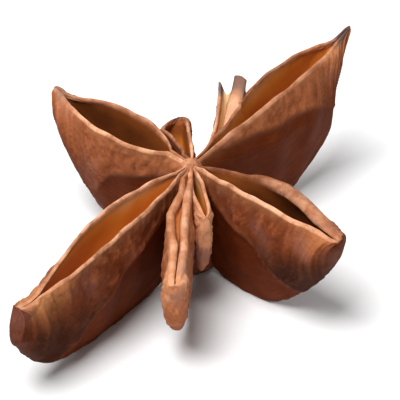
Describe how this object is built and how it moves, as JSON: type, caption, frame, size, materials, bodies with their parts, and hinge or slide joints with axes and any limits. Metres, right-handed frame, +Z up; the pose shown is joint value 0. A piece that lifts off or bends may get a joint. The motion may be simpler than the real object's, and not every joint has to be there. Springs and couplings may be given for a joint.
{
  "type": "star anise pod",
  "caption": "Dried star anise fruit: boat-shaped woody carpels of uneven length round a short column, most split open along the top seam and empty.",
  "frame": {"origin": "middle of the stalk scar under the column, on the surface that the pod lies on", "axes": "+Z up along the column, out of the side on which the seams open; the longest carpel points to -X -Y"},
  "size_m": [0.0226, 0.0267, 0.0112],
  "materials": {
    "pod": "dry woody husk, matte and wrinkled outside in red-brown, satin ochre-brown inside the open carpels, with pale lips along the seams"
  },
  "bodies": {
    "root": {"pod": "pod"}
  },
  "joints": []
}
